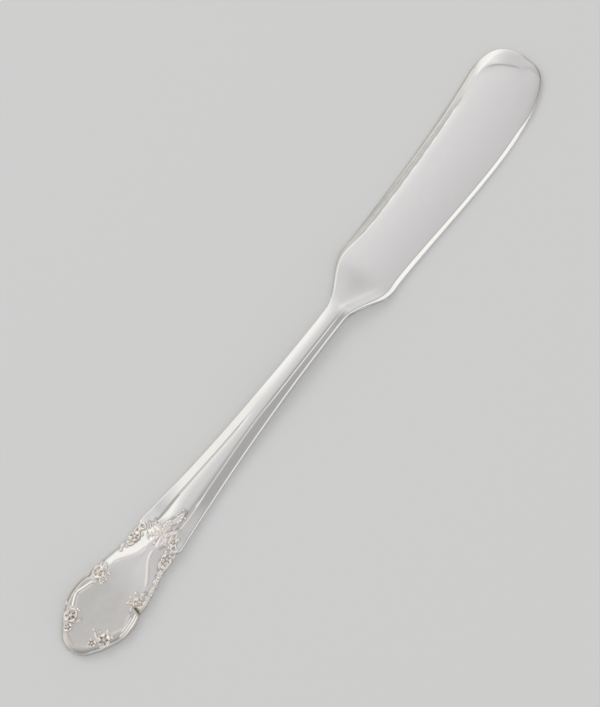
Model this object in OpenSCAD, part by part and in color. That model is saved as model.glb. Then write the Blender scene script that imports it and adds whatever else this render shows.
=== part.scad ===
// Butter spreader with a flat handle and a flower border
// Handle and blade are two wrought pieces, scarfed and soldered together at the neck.
// Flowers, leaves and rims are cast pieces, soldered on the flat front of the handle.
// X runs from the handle's tip to the blade's tip, Y points to the spine side, Z is up.
// The origin is under the middle of the part, on the surface that it lies on.

/* [Handle] */
// Length of the scalloped end of the handle
terminal_len = 29.3; // [26:0.1:33]
// Greatest width of the scalloped end
terminal_w = 14.4; // [12.5:0.1:16]
// Thickness of the scalloped end
terminal_t = 1.8; // [1.4:0.1:2.4]
// Radius of the round tip of the handle
tip_r = 4.5; // [4:0.1:5]
// Length of the shaft, from the scalloped end to the shoulder of the blade
shaft_len = 56.7; // [48:0.1:66]
// Width of the shaft where it leaves the scalloped end
shaft_root_w = 10.5; // [9.5:0.1:11.5]
// Width of the neck
neck_w = 4.5; // [3.8:0.1:5.4]
// Thickness of the neck on its centre line
neck_t = 2.5; // [2.3:0.1:3.5]
// Offset of the neck from the handle's axis, to the edge side
neck_shift = 0.2; // [0:0.05:0.5]
// Height of the arch under the shaft
arch_rise = 0.5; // [0.2:0.1:3.5]

/* [Shaft section] */
// Length of the flat seat for the collar, from the scalloped end to the crowned panel
collar_len = 7.3; // [6.5:0.1:9]
// Width of the raised panel where it starts
panel_root_w = 4; // [3.6:0.1:4.6]
// Width of the raised panel at the neck
panel_neck_w = 1.5; // [1.2:0.1:2]
// Length over which the panel narrows, from the round ends of the side bands
panel_taper_len = 29; // [24:0.5:36]
// Crown of the panel across its width where it starts
panel_crown = 0.25; // [0.15:0.05:0.4]
// Thickness of the side bands at their outer edge, near the collar
band_edge_t = 1.15; // [0.9:0.05:1.3]
// Thickness of the side bands at their outer edge, at the neck
neck_edge_t = 2; // [1.7:0.05:2.1]

/* [Blade] */
// Length of the shoulder, where the neck widens to the blade
shoulder_len = 12; // [10:0.1:15]
// Length of the blade from the shoulder to its tip
blade_len = 54; // [46:0.1:62]
// Reach of the spine from the handle's axis at the shoulder
root_spine_reach = 6.9; // [5.8:0.1:7.4]
// Greatest reach of the spine, near the tip
spine_reach = 8.94; // [8:0.02:10]
// Reach of the spreading edge from the handle's axis at the shoulder
root_edge_reach = 6.5; // [5.8:0.1:7]
// Greatest reach of the spreading edge
edge_reach = 7.48; // [7.22:0.02:8.4]
// Distance of the foremost point from the handle's axis, to the spine side
tip_reach = 2.2; // [1.6:0.1:3]
// Length of the rounded corner on the spine side
spine_corner_len = 9; // [5:0.1:11]
// Length of the rounded corner on the edge side
edge_corner_len = 22; // [15:0.1:26]
// Thickness of the blade at the shoulder
blade_root_t = 1.6; // [1.3:0.1:2]
// Thickness of the blade near its tip
blade_tip_t = 1.05; // [0.9:0.05:1.4]
// Thickness left along the spine
spine_t = 0.65; // [0.6:0.05:0.85]
// Thickness left along the spreading edge
edge_t = 0.6; // [0.4:0.05:0.7]

/* [Neck joint] */
// Distance of the scarf's two ends from the ends of the shoulder
scarf_inset = 1.5; // [0.8:0.1:2.5]
// Thickness of the solder in the scarf
solder_t = 0.1; // [0.05:0.01:0.2]

/* [Ornament] */
// Radius of the large flowers beside the tip
tip_flower_r = 1.35; // [1.1:0.05:1.45]
// Radius of the small flowers beside the tip
bud_flower_r = 0.9; // [0.7:0.05:1]
// Radius of the flowers at the waist
waist_flower_r = 1.3; // [1.1:0.05:1.45]
// Radius of the flowers at the shoulder of the border
shoulder_flower_r = 1.1; // [0.9:0.05:1.2]
// Height of the leaves over the seat
leaf_h = 0.5; // [0.3:0.05:0.7]
// Width of the raised rims
rim_w = 0.6; // [0.4:0.05:0.8]
// Height of the raised rims
rim_h = 0.35; // [0.2:0.05:0.5]

/* [Hidden] */
$fn = 48;
silver = [0.86, 0.85, 0.84];
cast_silver = [0.78, 0.75, 0.71];
solder_grey = [0.62, 0.62, 0.6];

// Places along the knife, from the tip of the handle
seat_len = terminal_len + collar_len;
neck_x = terminal_len + shaft_len;
shoulder_x = neck_x + shoulder_len;
overall_len = shoulder_x + blade_len;
axis_y = (max(edge_reach, terminal_w / 2) - spine_reach) / 2;
seat_z = terminal_t;

// Edges of the handle and the blade
edge_break_w = 0.5;
edge_break_h = 0.3;
foot_w = 0.3;
foot_h = 0.25;
groove_w = 0.28;
groove_h = 0.22;
band_lead_len = 3.4;
crown_lead_len = 9;
spine_bevel_w = 1.3;
edge_bevel_w = 1.1;
blade_lift_len = 14;
tip_facet_len = 6.6;
tip_facet_w = 2.2;
tip_facet_drop = 0.4;

// Shares of a half-width that limit small edges where the outline runs together
edge_limit_share = 0.3;
foot_limit_share = 0.2;
tip_arc_share = 0.5;
facet_start_share = 0.93;
facet_end_share = 0.32;

// Powers that bend the taper and the rounded corners of the outline
taper_power = 2;
spine_sweep_power = 2.6;
spine_corner_power = 3.1;
spine_corner_root = 0.5;
edge_corner_power = 2;
edge_corner_root = 0.285;

// Numbers of stations along the lofts
tip_steps = 9;
lobe_steps = 2;
lead_steps = 6;
shaft_steps = 18;
shoulder_steps = 14;
blade_steps = 10;
corner_steps = 16;
first_angle = 6;
last_angle = 89.5;

// Scalloped outline: shares of terminal_len and of half terminal_w
outline_shares = [
    [0.102, 0.615], [0.137, 0.71], [0.21, 0.85], [0.253, 0.93], [0.33, 0.993], [0.39, 1],
    [0.464, 0.945], [0.486, 0.9], [0.536, 0.92], [0.614, 0.875], [0.683, 0.82],
    [0.727, 0.787], [0.746, 0.763], [0.83, 0.722], [0.884, 0.73], [0.962, 0.655]
];

// Places of the ornament: shares of terminal_len and of half terminal_w
tip_flower_share = [0.19, 0.583];
bud_flower_share = [0.12, 0.4];
waist_flower_share = [0.543, 0.715];
shoulder_flower_share = [0.894, 0.5625];
tip_bead_share = [0.24, 0.52];
waist_bud_share = [0.524, 0.5];
waist_leaf_share = [0.635, 0.645];
spray_joint_share = [0.815, 0.605];
spray_end_share = [0.735, 0.665];
curl_share = [0.982, 0.47];
lower_rim_shares = [
    [0.245, 0.74], [0.297, 0.835], [0.352, 0.9],
    [0.376, 0.85], [0.42, 0.805], [0.472, 0.765]
];
upper_rim_shares = [
    [0.65, 0.645], [0.69, 0.605], [0.75, 0.47],
    [0.81, 0.29], [0.85, 0.2], [0.885, 0.165]
];

// Roots and tips of the collar's leaves: shares of collar_len and of half panel_root_w
collar_root_shares = [[-0.28, 0], [-0.16, 0.07], [0.03, 0.07], [0.26, 0.07]];
collar_tip_shares = [[0.95, 0], [0.1, 1.25], [0.4, 1], [0.72, 0.8]];

// Sizes of the ornament
petals = 5;
waist_turn = 36;
petal_share = 0.42;
boss_share = 0.38;
boss_lift_share = 0.2;
dome_share = 0.56;
dome_sides = 180;
rim_end_share = 0.35;
rim_inset = 1.1;
trim_gap = 0.12;
tip_rim_turn = 62;
leaf_w = 0.9;
tip_bead_r = 0.5;
bud_r = 0.65;
curl_r = 0.62;
curl_wire_r = 0.3;
curl_sweep = 290;
centre_leaf_w = 1.9;
centre_leaf_h = 0.7;
collar_leaf_w = 1.05;
rim_steps = 6;
rim_sides = 6;

function share_01(t) = min(max(t, 0), 1);
function ease(t) = let (s = share_01(t)) s * s * (3 - 2 * s);
function mix(a, b, t) = a + (b - a) * t;
function place(x, a, b) = (x - a) / (b - a);
function at_terminal(share) = [share[0] * terminal_len, share[1] * terminal_w / 2];
function at_collar(share) = [terminal_len + share[0] * collar_len, share[1] * panel_root_w / 2];

// Slope of a smooth curve at its point k, level at every peak and notch
function slope_between(pts, k) = (pts[k + 1][1] - pts[k][1]) / (pts[k + 1][0] - pts[k][0]);
function slope_at(pts, k) =
    k == 0 ? slope_between(pts, 0) :
    k == len(pts) - 1 ? slope_between(pts, k - 1) :
    let (before = slope_between(pts, k - 1), after = slope_between(pts, k))
    before * after <= 0 ? 0 : 2 * before * after / (before + after);

// Height at x of the smooth curve through points sorted along x
function curve_at(pts, x) =
    let (
        k = min([for (j = [0 : len(pts) - 2]) if (x <= pts[j + 1][0] || j == len(pts) - 2) j]),
        step = pts[k + 1][0] - pts[k][0],
        t = (x - pts[k][0]) / step
    )
    pts[k][1] * (1 + 2 * t) * pow(1 - t, 2) + slope_at(pts, k) * step * t * pow(1 - t, 2)
    + pts[k + 1][1] * t * t * (3 - 2 * t) + slope_at(pts, k + 1) * step * t * t * (t - 1);

// Half-width of the handle: round tip, scallops, then a hollow taper to the neck
tip_arc_x = tip_arc_share * tip_r;
function tip_arc(x) = sqrt(max(2 * tip_r * x - x * x, 0));
scallops = concat(
    [[tip_arc_x, tip_arc(tip_arc_x)]],
    [for (share = outline_shares) at_terminal(share)],
    [[terminal_len, shaft_root_w / 2]]
);
function taper(x) = pow(1 - share_01(place(x, terminal_len, neck_x)), taper_power);
function handle_half(x) =
    x < tip_arc_x ? tip_arc(x) :
    x < terminal_len ? curve_at(scallops, x) :
    mix(neck_w, shaft_root_w, taper(x)) / 2;

// Outline of the blade: the spine sweeps out to its corner, the edge has a belly
spine_corner_x = overall_len - spine_corner_len;
edge_corner_x = overall_len - edge_corner_len;
function corner(x, start, power, root) =
    pow(max(1 - pow(share_01(place(x, start, overall_len)), power), 0), root);
function blade_spine(x) =
    let (
        sweep = pow(share_01(place(x, shoulder_x, spine_corner_x)), spine_sweep_power),
        reach = mix(root_spine_reach, spine_reach, sweep)
    )
    mix(tip_reach, reach, corner(x, spine_corner_x, spine_corner_power, spine_corner_root));
function blade_edge(x) =
    let (reach = mix(root_edge_reach, edge_reach, ease(place(x, shoulder_x, edge_corner_x))))
    mix(tip_reach, -reach, corner(x, edge_corner_x, edge_corner_power, edge_corner_root));
function widen(x) = ease(place(x, neck_x, shoulder_x));
function lean(x) = neck_shift * ease(place(x, seat_len, neck_x));
function spine_y(x) = mix(handle_half(x) - lean(x), blade_spine(x), widen(x));
function edge_y(x) = mix(-handle_half(x) - lean(x), blade_edge(x), widen(x));

// Underside, and thickness over it on the centre line
function thickened(x) = ease(place(x, seat_len, neck_x));
function under(x) = arch_rise * pow(sin(180 * share_01(place(x, seat_len, shoulder_x + blade_lift_len))), 2);
function centre_t(x) =
    x < neck_x ? mix(terminal_t, neck_t, thickened(x)) :
    x < shoulder_x ? mix(neck_t, blade_root_t, ease(place(x, neck_x, shoulder_x))) :
    mix(blade_root_t, blade_tip_t, share_01(place(x, shoulder_x, overall_len)));

// Half-width of the raised panel, which narrows along the first part of the shaft
panel_x = terminal_len + band_lead_len;
function panel_half(x) =
    mix(panel_root_w, panel_neck_w, ease(place(x, panel_x, panel_x + panel_taper_len))) / 2;

// How far the section has changed from flat plate to panelled shaft
function banded(x) = ease(place(x, terminal_len, terminal_len + band_lead_len));
function crowned(x) = ease(place(x, seat_len, seat_len + crown_lead_len));

// Half of the handle's front, as distance from the middle and thickness: panel, groove, band, edge
function handle_front(x, w) =
    let (
        c = centre_t(x),
        e = min(edge_break_w, edge_limit_share * w),
        panel = panel_half(x),
        plate = w - e - min(groove_w, edge_limit_share * w),
        p = mix(plate, min(panel, plate), banded(x)),
        p_t = c - panel_crown * crowned(x) * panel / panel_half(panel_x),
        g = min(groove_w, edge_limit_share * w) / 2,
        out_t = mix(c, mix(band_edge_t, neck_edge_t, thickened(x)), banded(x))
    )
    [
        [0, c],
        [p / 2, mix(c, p_t, 1 / 4)],
        [p, p_t],
        [p + g, p_t - groove_h * banded(x)],
        [p + 2 * g, mix(p_t, out_t, banded(x) / 4)],
        [w - e / 2, out_t - edge_break_h / 4],
        [w, out_t - edge_break_h * (1 - banded(x) / 2)]
    ];

// Half of the blade's front: flat face, then the bevel that thins its edge
function blade_front(x, w, bevel, rim_t) =
    let (c = centre_t(x), f = w - min(bevel, edge_limit_share * w))
    [[0, c], [f / 5, c], [2 * f / 5, c], [3 * f / 5, c], [4 * f / 5, c], [f, c], [w, min(rim_t, c)]];

// Closed section across the knife at x, from the middle of the front round by the spine
function section(x) =
    let (
        ys = spine_y(x),
        ye = edge_y(x),
        w = (ys - ye) / 2,
        mid = (ys + ye) / 2,
        z = under(x),
        b = widen(x),
        spine = mix(handle_front(x, w), blade_front(x, w, spine_bevel_w, spine_t), b),
        edge = mix(handle_front(x, w), blade_front(x, w, edge_bevel_w, edge_t), b),
        last = len(spine) - 1,
        foot = min(foot_w, foot_limit_share * w),
        low = min(foot_h, edge_t / 2)
    )
    concat(
        [for (k = [0 : last]) [x, mid + spine[k][0], z + spine[k][1]]],
        [[x, ys, z + low], [x, ys - foot, z], [x, ye + foot, z], [x, ye, z + low]],
        [for (k = [last : -1 : 1]) [x, mid - edge[k][0], z + edge[k][1]]]
    );

// Stations of the lofts
tip_stations = [
    for (k = [0 : tip_steps - 1])
    tip_r * (1 - cos(mix(first_angle, acos(1 - tip_arc_share), k / tip_steps)))
];
lobe_stations = [
    for (k = [0 : len(scallops) - 2]) for (j = [0 : lobe_steps - 1])
    mix(scallops[k][0], scallops[k + 1][0], j / lobe_steps)
];
lead_stations = [for (k = [0 : lead_steps - 1]) terminal_len + band_lead_len * k / lead_steps];
shaft_stations = [
    for (k = [0 : shaft_steps - 1]) mix(terminal_len + band_lead_len, neck_x, k / shaft_steps)
];
shoulder_stations = [for (k = [0 : shoulder_steps]) mix(neck_x, shoulder_x, k / shoulder_steps)];
blade_stations = [for (k = [1 : blade_steps]) mix(shoulder_x, edge_corner_x, k / blade_steps)];
corner_stations = [
    for (k = [1 : corner_steps]) edge_corner_x + edge_corner_len * sin(last_angle * k / corner_steps)
];

// Solid through a row of closed rings that have the same number of points
function middle(ring) =
    let (weights = [for (point = ring) 1 / len(ring)])
    [for (k = [0 : 2]) [for (point = ring) point[k]] * weights];
module through(rings) {
    n = len(rings[0]);
    last = len(rings) - 1;
    sides = [
        for (i = [0 : last - 1]) for (j = [0 : n - 1])
        let (a = i * n + j, b = i * n + (j + 1) % n)
        each [[a, b, b + n], [a, b + n, a + n]]
    ];
    centres = [middle(rings[0]), middle(rings[last])];
    start = [for (j = [0 : n - 1]) [(last + 1) * n, (j + 1) % n, j]];
    end = [for (j = [0 : n - 1]) [(last + 1) * n + 1, last * n + j, last * n + (j + 1) % n]];
    polyhedron(concat([for (ring = rings) each ring], centres), concat(sides, start, end));
}

module loft(stations) {
    through([for (x = stations) section(x)]);
}

module placed() {
    translate([-overall_len / 2, axis_y, 0]) children();
}

// Slab along the scarf, which slopes from the front of the neck to the back of the shoulder
scarf_from_x = neck_x + scarf_inset;
scarf_to_x = shoulder_x - scarf_inset;
scarf_from_z = under(scarf_from_x) + centre_t(scarf_from_x);
scarf_angle = atan2(scarf_from_z - under(scarf_to_x), scarf_to_x - scarf_from_x);
module scarf_side(low, high) {
    translate([scarf_from_x, 0, scarf_from_z])
        rotate([0, scarf_angle, 0])
            translate([-overall_len, -overall_len / 2, low])
                cube([2 * overall_len, overall_len, high - low]);
}

// Wedge over the slanted facet that thins the tip of the blade
facet_from = [overall_len - tip_facet_len, spine_reach * facet_start_share];
facet_to = [overall_len - tip_facet_w, -edge_reach * facet_end_share];
module tip_facet() {
    run = facet_to - facet_from;
    translate([facet_from[0], facet_from[1], centre_t(facet_from[0])])
        rotate([0, 0, atan2(run[1], run[0])])
            rotate([atan(-tip_facet_drop / tip_facet_w), 0, 0])
                translate([-overall_len, 0, 0])
                    cube([2 * overall_len, overall_len, overall_len]);
}

module handle() {
    color(silver) placed() difference() {
        loft(concat(tip_stations, lobe_stations, lead_stations, shaft_stations, shoulder_stations));
        scarf_side(-solder_t / 2, overall_len);
    }
}

module blade() {
    color(silver) placed() difference() {
        loft(concat(shoulder_stations, blade_stations, corner_stations));
        scarf_side(-overall_len, solder_t / 2);
        tip_facet();
    }
}

module neck_solder() {
    color(solder_grey) placed() intersection() {
        loft(shoulder_stations);
        scarf_side(-solder_t / 2, solder_t / 2);
    }
}

// Puts ornament on the flat seat, on the spine side or mirrored to the edge side
module on_seat(side) {
    placed() translate([0, 0, seat_z]) mirror([0, side < 0 ? 1 : 0, 0]) children();
}

module at_share(share) {
    translate(at_terminal(share)) children();
}

module under_seat() {
    translate([-overall_len, -overall_len, -overall_len])
        cube([2 * overall_len, 2 * overall_len, overall_len]);
}

// Five round petals and a raised boss, cut flat underneath
module flower(r, turn = 0) {
    petal_r = petal_share * r;
    rotate(turn) difference() {
        union() {
            for (k = [0 : petals - 1])
                rotate(k * 360 / petals) translate([r - petal_r, 0, 0]) sphere(petal_r);
            translate([0, 0, boss_lift_share * r]) sphere(boss_share * r);
        }
        under_seat();
    }
}

// Pointed leaf with a domed back from root to tip: two arcs in plan under a large sphere
module leaf(root, tip, width = leaf_w, height = leaf_h) {
    run = tip - root;
    arc_r = (run * run + width * width) / (4 * width);
    dome_r = (dome_share * dome_share * run * run + height * height) / (2 * height);
    translate((root + tip) / 2) rotate(atan2(run[1], run[0])) intersection() {
        translate([0, arc_r - width / 2, 0]) cylinder(r = arc_r, h = 2 * height, $fn = dome_sides);
        translate([0, width / 2 - arc_r, 0]) cylinder(r = arc_r, h = 2 * height, $fn = dome_sides);
        translate([0, 0, height - dome_r]) sphere(dome_r, $fn = dome_sides);
    }
}

// Open ring of round wire, cut flat underneath
module curl() {
    difference() {
        rotate_extrude(angle = curl_sweep) translate([curl_r, 0]) circle(curl_wire_r);
        under_seat();
    }
}

module bead(r) {
    difference() {
        sphere(r);
        under_seat();
    }
}

// Half-round bar along a smooth path, thinner at both ends
function path_at(pts, t) =
    let (
        k = min(floor(t), len(pts) - 2),
        u = t - k,
        a = pts[max(k - 1, 0)],
        b = pts[k],
        c = pts[k + 1],
        d = pts[min(k + 2, len(pts) - 1)]
    )
    b + (c - a) * u / 2 + (2 * a - 5 * b + 4 * c - d) * u * u / 2 + (3 * b - a - 3 * c + d) * pow(u, 3) / 2;
function rim_ring(at, along, size) =
    let (n = [-along[1], along[0]] / norm(along))
    [
        for (k = [rim_sides : -1 : 0])
        let (a = 180 * k / rim_sides, side = cos(a) * size * rim_w / 2)
        [at[0] + n[0] * side, at[1] + n[1] * side, sin(a) * size * rim_h]
    ];
module rim(pts) {
    count = rim_steps * (len(pts) - 1);
    path = [for (k = [0 : count]) path_at(pts, k / rim_steps)];
    through([
        for (k = [0 : count])
        rim_ring(
            path[k],
            path[min(k + 1, count)] - path[max(k - 1, 0)],
            mix(rim_end_share, 1, sin(180 * k / count))
        )
    ]);
}

module clear_of(share, r) {
    at_share(share) translate([0, 0, -overall_len]) cylinder(r = r + trim_gap, h = 2 * overall_len);
}

module tip_flowers(side) {
    color(cast_silver) on_seat(side) {
        at_share(tip_flower_share) flower(tip_flower_r);
        at_share(bud_flower_share) flower(bud_flower_r);
        at_share(tip_bead_share) bead(tip_bead_r);
        leaf(at_terminal(tip_flower_share), at_terminal(bud_flower_share));
    }
}

module waist_flowers(side) {
    color(cast_silver) on_seat(side) {
        at_share(waist_flower_share) flower(waist_flower_r, waist_turn);
        at_share(waist_bud_share) flower(bud_r);
        leaf(at_terminal(waist_flower_share), at_terminal(waist_leaf_share));
    }
}

module shoulder_spray(side) {
    middle = at_terminal(shoulder_flower_share);
    curl_at = at_terminal(curl_share);
    curl_run = curl_at - middle;
    color(cast_silver) on_seat(side) {
        translate(middle) flower(shoulder_flower_r);
        leaf(middle, at_terminal(spray_end_share) / 2 + at_terminal(spray_joint_share) / 2);
        leaf(at_terminal(spray_joint_share), at_terminal(spray_end_share));
        leaf(middle, curl_at - curl_run * curl_r / norm(curl_run));
        translate(curl_at) curl();
    }
}

module collar_leaves() {
    color(cast_silver) on_seat(1) {
        leaf(at_collar(collar_root_shares[0]), at_collar(collar_tip_shares[0]), centre_leaf_w, centre_leaf_h);
        for (side = [0, 1]) mirror([0, side, 0])
            for (k = [1 : len(collar_tip_shares) - 1])
                leaf(at_collar(collar_root_shares[k]), at_collar(collar_tip_shares[k]), collar_leaf_w);
    }
}

module lower_rim(side) {
    color(cast_silver) on_seat(side) difference() {
        rim([for (share = lower_rim_shares) at_terminal(share)]);
        clear_of(tip_flower_share, tip_flower_r);
        clear_of(waist_flower_share, waist_flower_r);
    }
}

module upper_rim(side) {
    color(cast_silver) on_seat(side) difference() {
        rim([for (share = upper_rim_shares) at_terminal(share)]);
        clear_of(waist_flower_share, waist_flower_r);
    }
}

module tip_rim() {
    rim_r = tip_r - rim_inset;
    color(cast_silver) on_seat(1) difference() {
        rim([
            for (k = [-2 : 2])
            let (a = 180 + k * tip_rim_turn / 2)
            [tip_r + rim_r * cos(a), rim_r * sin(a)]
        ]);
        clear_of(bud_flower_share, bud_flower_r);
        mirror([0, 1, 0]) clear_of(bud_flower_share, bud_flower_r);
    }
}

handle();
blade();
neck_solder();
tip_flowers(1);  // tip_flowers_spine
tip_flowers(-1);  // tip_flowers_edge
waist_flowers(1);  // waist_flowers_spine
waist_flowers(-1);  // waist_flowers_edge
shoulder_spray(1);  // shoulder_spray_spine
shoulder_spray(-1);  // shoulder_spray_edge
collar_leaves();
lower_rim(1);  // lower_rim_spine
lower_rim(-1);  // lower_rim_edge
upper_rim(1);  // upper_rim_spine
upper_rim(-1);  // upper_rim_edge
tip_rim();
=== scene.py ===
import math

import bpy
import numpy as np
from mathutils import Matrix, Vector


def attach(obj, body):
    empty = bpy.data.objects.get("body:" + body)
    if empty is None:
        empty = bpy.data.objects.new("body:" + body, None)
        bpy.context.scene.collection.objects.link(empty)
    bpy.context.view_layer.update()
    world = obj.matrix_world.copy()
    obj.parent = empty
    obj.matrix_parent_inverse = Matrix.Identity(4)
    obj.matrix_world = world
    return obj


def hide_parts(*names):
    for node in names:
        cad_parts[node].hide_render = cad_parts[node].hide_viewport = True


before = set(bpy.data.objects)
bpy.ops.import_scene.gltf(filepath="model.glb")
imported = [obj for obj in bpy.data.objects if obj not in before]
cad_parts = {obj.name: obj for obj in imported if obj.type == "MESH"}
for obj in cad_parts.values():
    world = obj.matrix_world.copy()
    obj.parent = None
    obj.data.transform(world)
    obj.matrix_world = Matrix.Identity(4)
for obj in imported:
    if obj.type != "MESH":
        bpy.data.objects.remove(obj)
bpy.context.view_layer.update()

print("frame: ", sorted(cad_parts))


# Small helpers

def linear(hexColour, alpha=1.0):
    # sRGB hex to linear: the usual two-part curve, channel by channel
    channels = [int(hexColour[k:k + 2], 16) / 255 for k in (1, 3, 5)]
    return [c / 12.92 if c <= 0.04045 else ((c + 0.055) / 1.055) ** 2.4 for c in channels] + [alpha]


def smooth(t):
    # 0 before 0, 1 after 1, eased between them
    t = np.clip(t, 0, 1)
    return t * t * (3 - 2 * t)


def mix(a, b, t):
    # straight way from a at 0 to b at 1
    return a + (b - a) * t


def share(x, a, b):
    # place of x on the way from a to b, held between 0 and 1
    return np.clip((x - a) / (b - a), 0, 1)


def ramp(x, start, run):
    # eased from 0 at start to 1 after run
    return smooth((x - start) / run)


def fade(x, end, run):
    # eased down to 0 at end, over run before it
    return smooth((end - x) / run)


def stretch(x, start, rise, end, fall):
    # 1 along a stretch, eased in from its start and out to its end
    return ramp(x, start, rise) * fade(x, end, fall)


def bell(q, width):
    # bell curve: 1 in the middle, a third of it one width away
    return np.exp(-(q / width) ** 2)


def streak(q, strength, place, width):
    # soft line: a bell of the given strength and width at its place
    return strength * bell(q - place, width)


def addNode(tree, kind, settings=None, links=None):
    # one shader node: settings go to its sockets, colour stops or properties, links come from other sockets
    node = tree.nodes.new(kind)
    for key, value in (settings or {}).items():
        if key == "stops":
            stops = node.color_ramp.elements
            for k, (position, colour) in enumerate(value):
                stop = stops[k] if k < 2 else stops.new(position)
                stop.position, stop.color = position, linear(colour)
        elif isinstance(key, int) or key in node.inputs:
            node.inputs[key].default_value = value
        else:
            setattr(node, key, value)
    for key, source in (links or {}).items():
        tree.links.new(source, node.inputs[key])
    return node


# Outline of the knife, in mm: x from the tip of the handle, y to the spine side

knife = {
    "terminalLen": 29.3, "terminalW": 14.4, "terminalT": 1.8, "tipR": 4.5,
    "shaftLen": 56.7, "shaftRootW": 10.5, "neckW": 4.5, "neckT": 2.5, "neckShift": 0.2, "archRise": 0.5,
    "collarLen": 7.3, "panelRootW": 4.0, "panelNeckW": 1.5, "panelTaperLen": 29.0,
    "bandEdgeT": 1.15, "neckEdgeT": 2.0,
    "shoulderLen": 12.0, "bladeLen": 54.0,
    "rootSpineReach": 6.9, "spineReach": 8.94, "rootEdgeReach": 6.5, "edgeReach": 7.48,
    "tipReach": 2.2, "spineCornerLen": 9.0, "edgeCornerLen": 22.0, "bladeLiftLen": 14.0,
    "bladeRootT": 1.6, "bladeTipT": 1.05, "edgeT": 0.6,
    "taperPower": 2.0, "spineSweepPower": 2.6,
    "spineCorner": (3.1, 0.5), "edgeCorner": (2.0, 0.285),       # power and root of each rounded corner
    "scarfInset": 1.5, "solderT": 0.1,
    "shoulderSwell": (0.3, 95.0, 2.6),                           # fullness, place and run on the edge side
}
scallopShares = np.array([       # shares of the terminal's length and of its half width
    (0.102, 0.615), (0.137, 0.71), (0.21, 0.85), (0.253, 0.93), (0.33, 0.993), (0.39, 1.0),
    (0.464, 0.945), (0.486, 0.9), (0.536, 0.92), (0.614, 0.875), (0.683, 0.82),
    (0.727, 0.787), (0.746, 0.763), (0.83, 0.722), (0.884, 0.73), (0.962, 0.655),
])
neckX = knife["terminalLen"] + knife["shaftLen"]
seatX = knife["terminalLen"] + knife["collarLen"]
shaftRun = neckX - seatX
shoulderX = neckX + knife["shoulderLen"]
endX = shoulderX + knife["bladeLen"]
spineCornerX = endX - knife["spineCornerLen"]
edgeCornerX = endX - knife["edgeCornerLen"]
axisY = (max(knife["edgeReach"], knife["terminalW"] / 2) - knife["spineReach"]) / 2


def smoothCurve(points, x):
    # cubic pieces through points sorted along x, with harmonic-mean slopes, level at peaks and notches
    px, py = points[:, 0], points[:, 1]
    step = np.diff(px)
    chord = np.diff(py) / step
    slope = np.concatenate([chord[:1], np.zeros(len(px) - 2), chord[-1:]])
    same = chord[:-1] * chord[1:] > 0
    total = np.where(same, chord[:-1] + chord[1:], 1)
    slope[1:-1] = np.where(same, 2 * chord[:-1] * chord[1:] / total, 0)
    k = np.clip(np.searchsorted(px, x) - 1, 0, len(step) - 1)
    t = (x - px[k]) / step[k]
    return (py[k] * (1 + 2 * t) * (1 - t) ** 2 + slope[k] * step[k] * t * (1 - t) ** 2
            + py[k + 1] * t * t * (3 - 2 * t) + slope[k + 1] * step[k] * t * t * (t - 1))


tipArcX = knife["tipR"] / 2
scallops = np.vstack([
    [(tipArcX, math.sqrt(2 * knife["tipR"] * tipArcX - tipArcX ** 2))],
    scallopShares * (knife["terminalLen"], knife["terminalW"] / 2),
    [(knife["terminalLen"], knife["shaftRootW"] / 2)],
])


def taper(x):
    # hollow fall from 1 at the scalloped end to 0 at the neck
    return (1 - share(x, knife["terminalLen"], neckX)) ** knife["taperPower"]


def handleHalf(x):
    # half width of the handle: round tip, scallops, then a hollow taper to the neck
    tip = np.sqrt(np.maximum(2 * knife["tipR"] * x - x * x, 0))
    lobes = smoothCurve(scallops, np.clip(x, tipArcX, knife["terminalLen"]))
    shaft = mix(knife["neckW"], knife["shaftRootW"], taper(x)) / 2
    return np.where(x < tipArcX, tip, np.where(x < knife["terminalLen"], lobes, shaft))


def corner(x, start, power, root):
    # 1 before start, falling in a round corner to 0 at the end of the blade
    return np.maximum(1 - share(x, start, endX) ** power, 0) ** root


def widen(x):
    # way from the neck to the full width of the blade
    return ramp(x, neckX, knife["shoulderLen"])


def lean(x):
    # the neck stands a little to the edge side of the handle's axis
    return knife["neckShift"] * ramp(x, seatX, shaftRun)


def spineY(x):
    # spine side: the handle's half width runs over into the sweep of the blade and its round corner
    sweep = share(x, shoulderX, spineCornerX) ** knife["spineSweepPower"]
    reach = mix(knife["rootSpineReach"], knife["spineReach"], sweep)
    blade = mix(knife["tipReach"], reach, corner(x, spineCornerX, *knife["spineCorner"]))
    return mix(handleHalf(x) - lean(x), blade, widen(x))


def edgeY(x):
    # spreading edge: the same on the other side, with a full shoulder, a belly and a long round corner
    belly = ramp(x, shoulderX, edgeCornerX - shoulderX)
    reach = mix(knife["rootEdgeReach"], knife["edgeReach"], belly)
    blade = mix(knife["tipReach"], -reach, corner(x, edgeCornerX, *knife["edgeCorner"]))
    return mix(-handleHalf(x) - lean(x), blade, widen(x)) - streak(x, *knife["shoulderSwell"])


def middle(x):
    # halfway between the two sides
    return (spineY(x) + edgeY(x)) / 2


def halfWidth(x):
    # half the distance between the two sides, never quite 0
    return np.maximum((spineY(x) - edgeY(x)) / 2, 1e-6)


def under(x):
    # height of the underside: one long arch from the collar to the root of the blade
    t = share(x, seatX, shoulderX + knife["bladeLiftLen"])
    return knife["archRise"] * np.sin(math.pi * t) ** 2


def centreT(x):
    # thickness on the centre line
    shaft = mix(knife["terminalT"], knife["neckT"], ramp(x, seatX, shaftRun))
    shoulder = mix(knife["neckT"], knife["bladeRootT"], widen(x))
    blade = mix(knife["bladeRootT"], knife["bladeTipT"], share(x, shoulderX, endX))
    return np.where(x < neckX, shaft, np.where(x < shoulderX, shoulder, blade))


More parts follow.
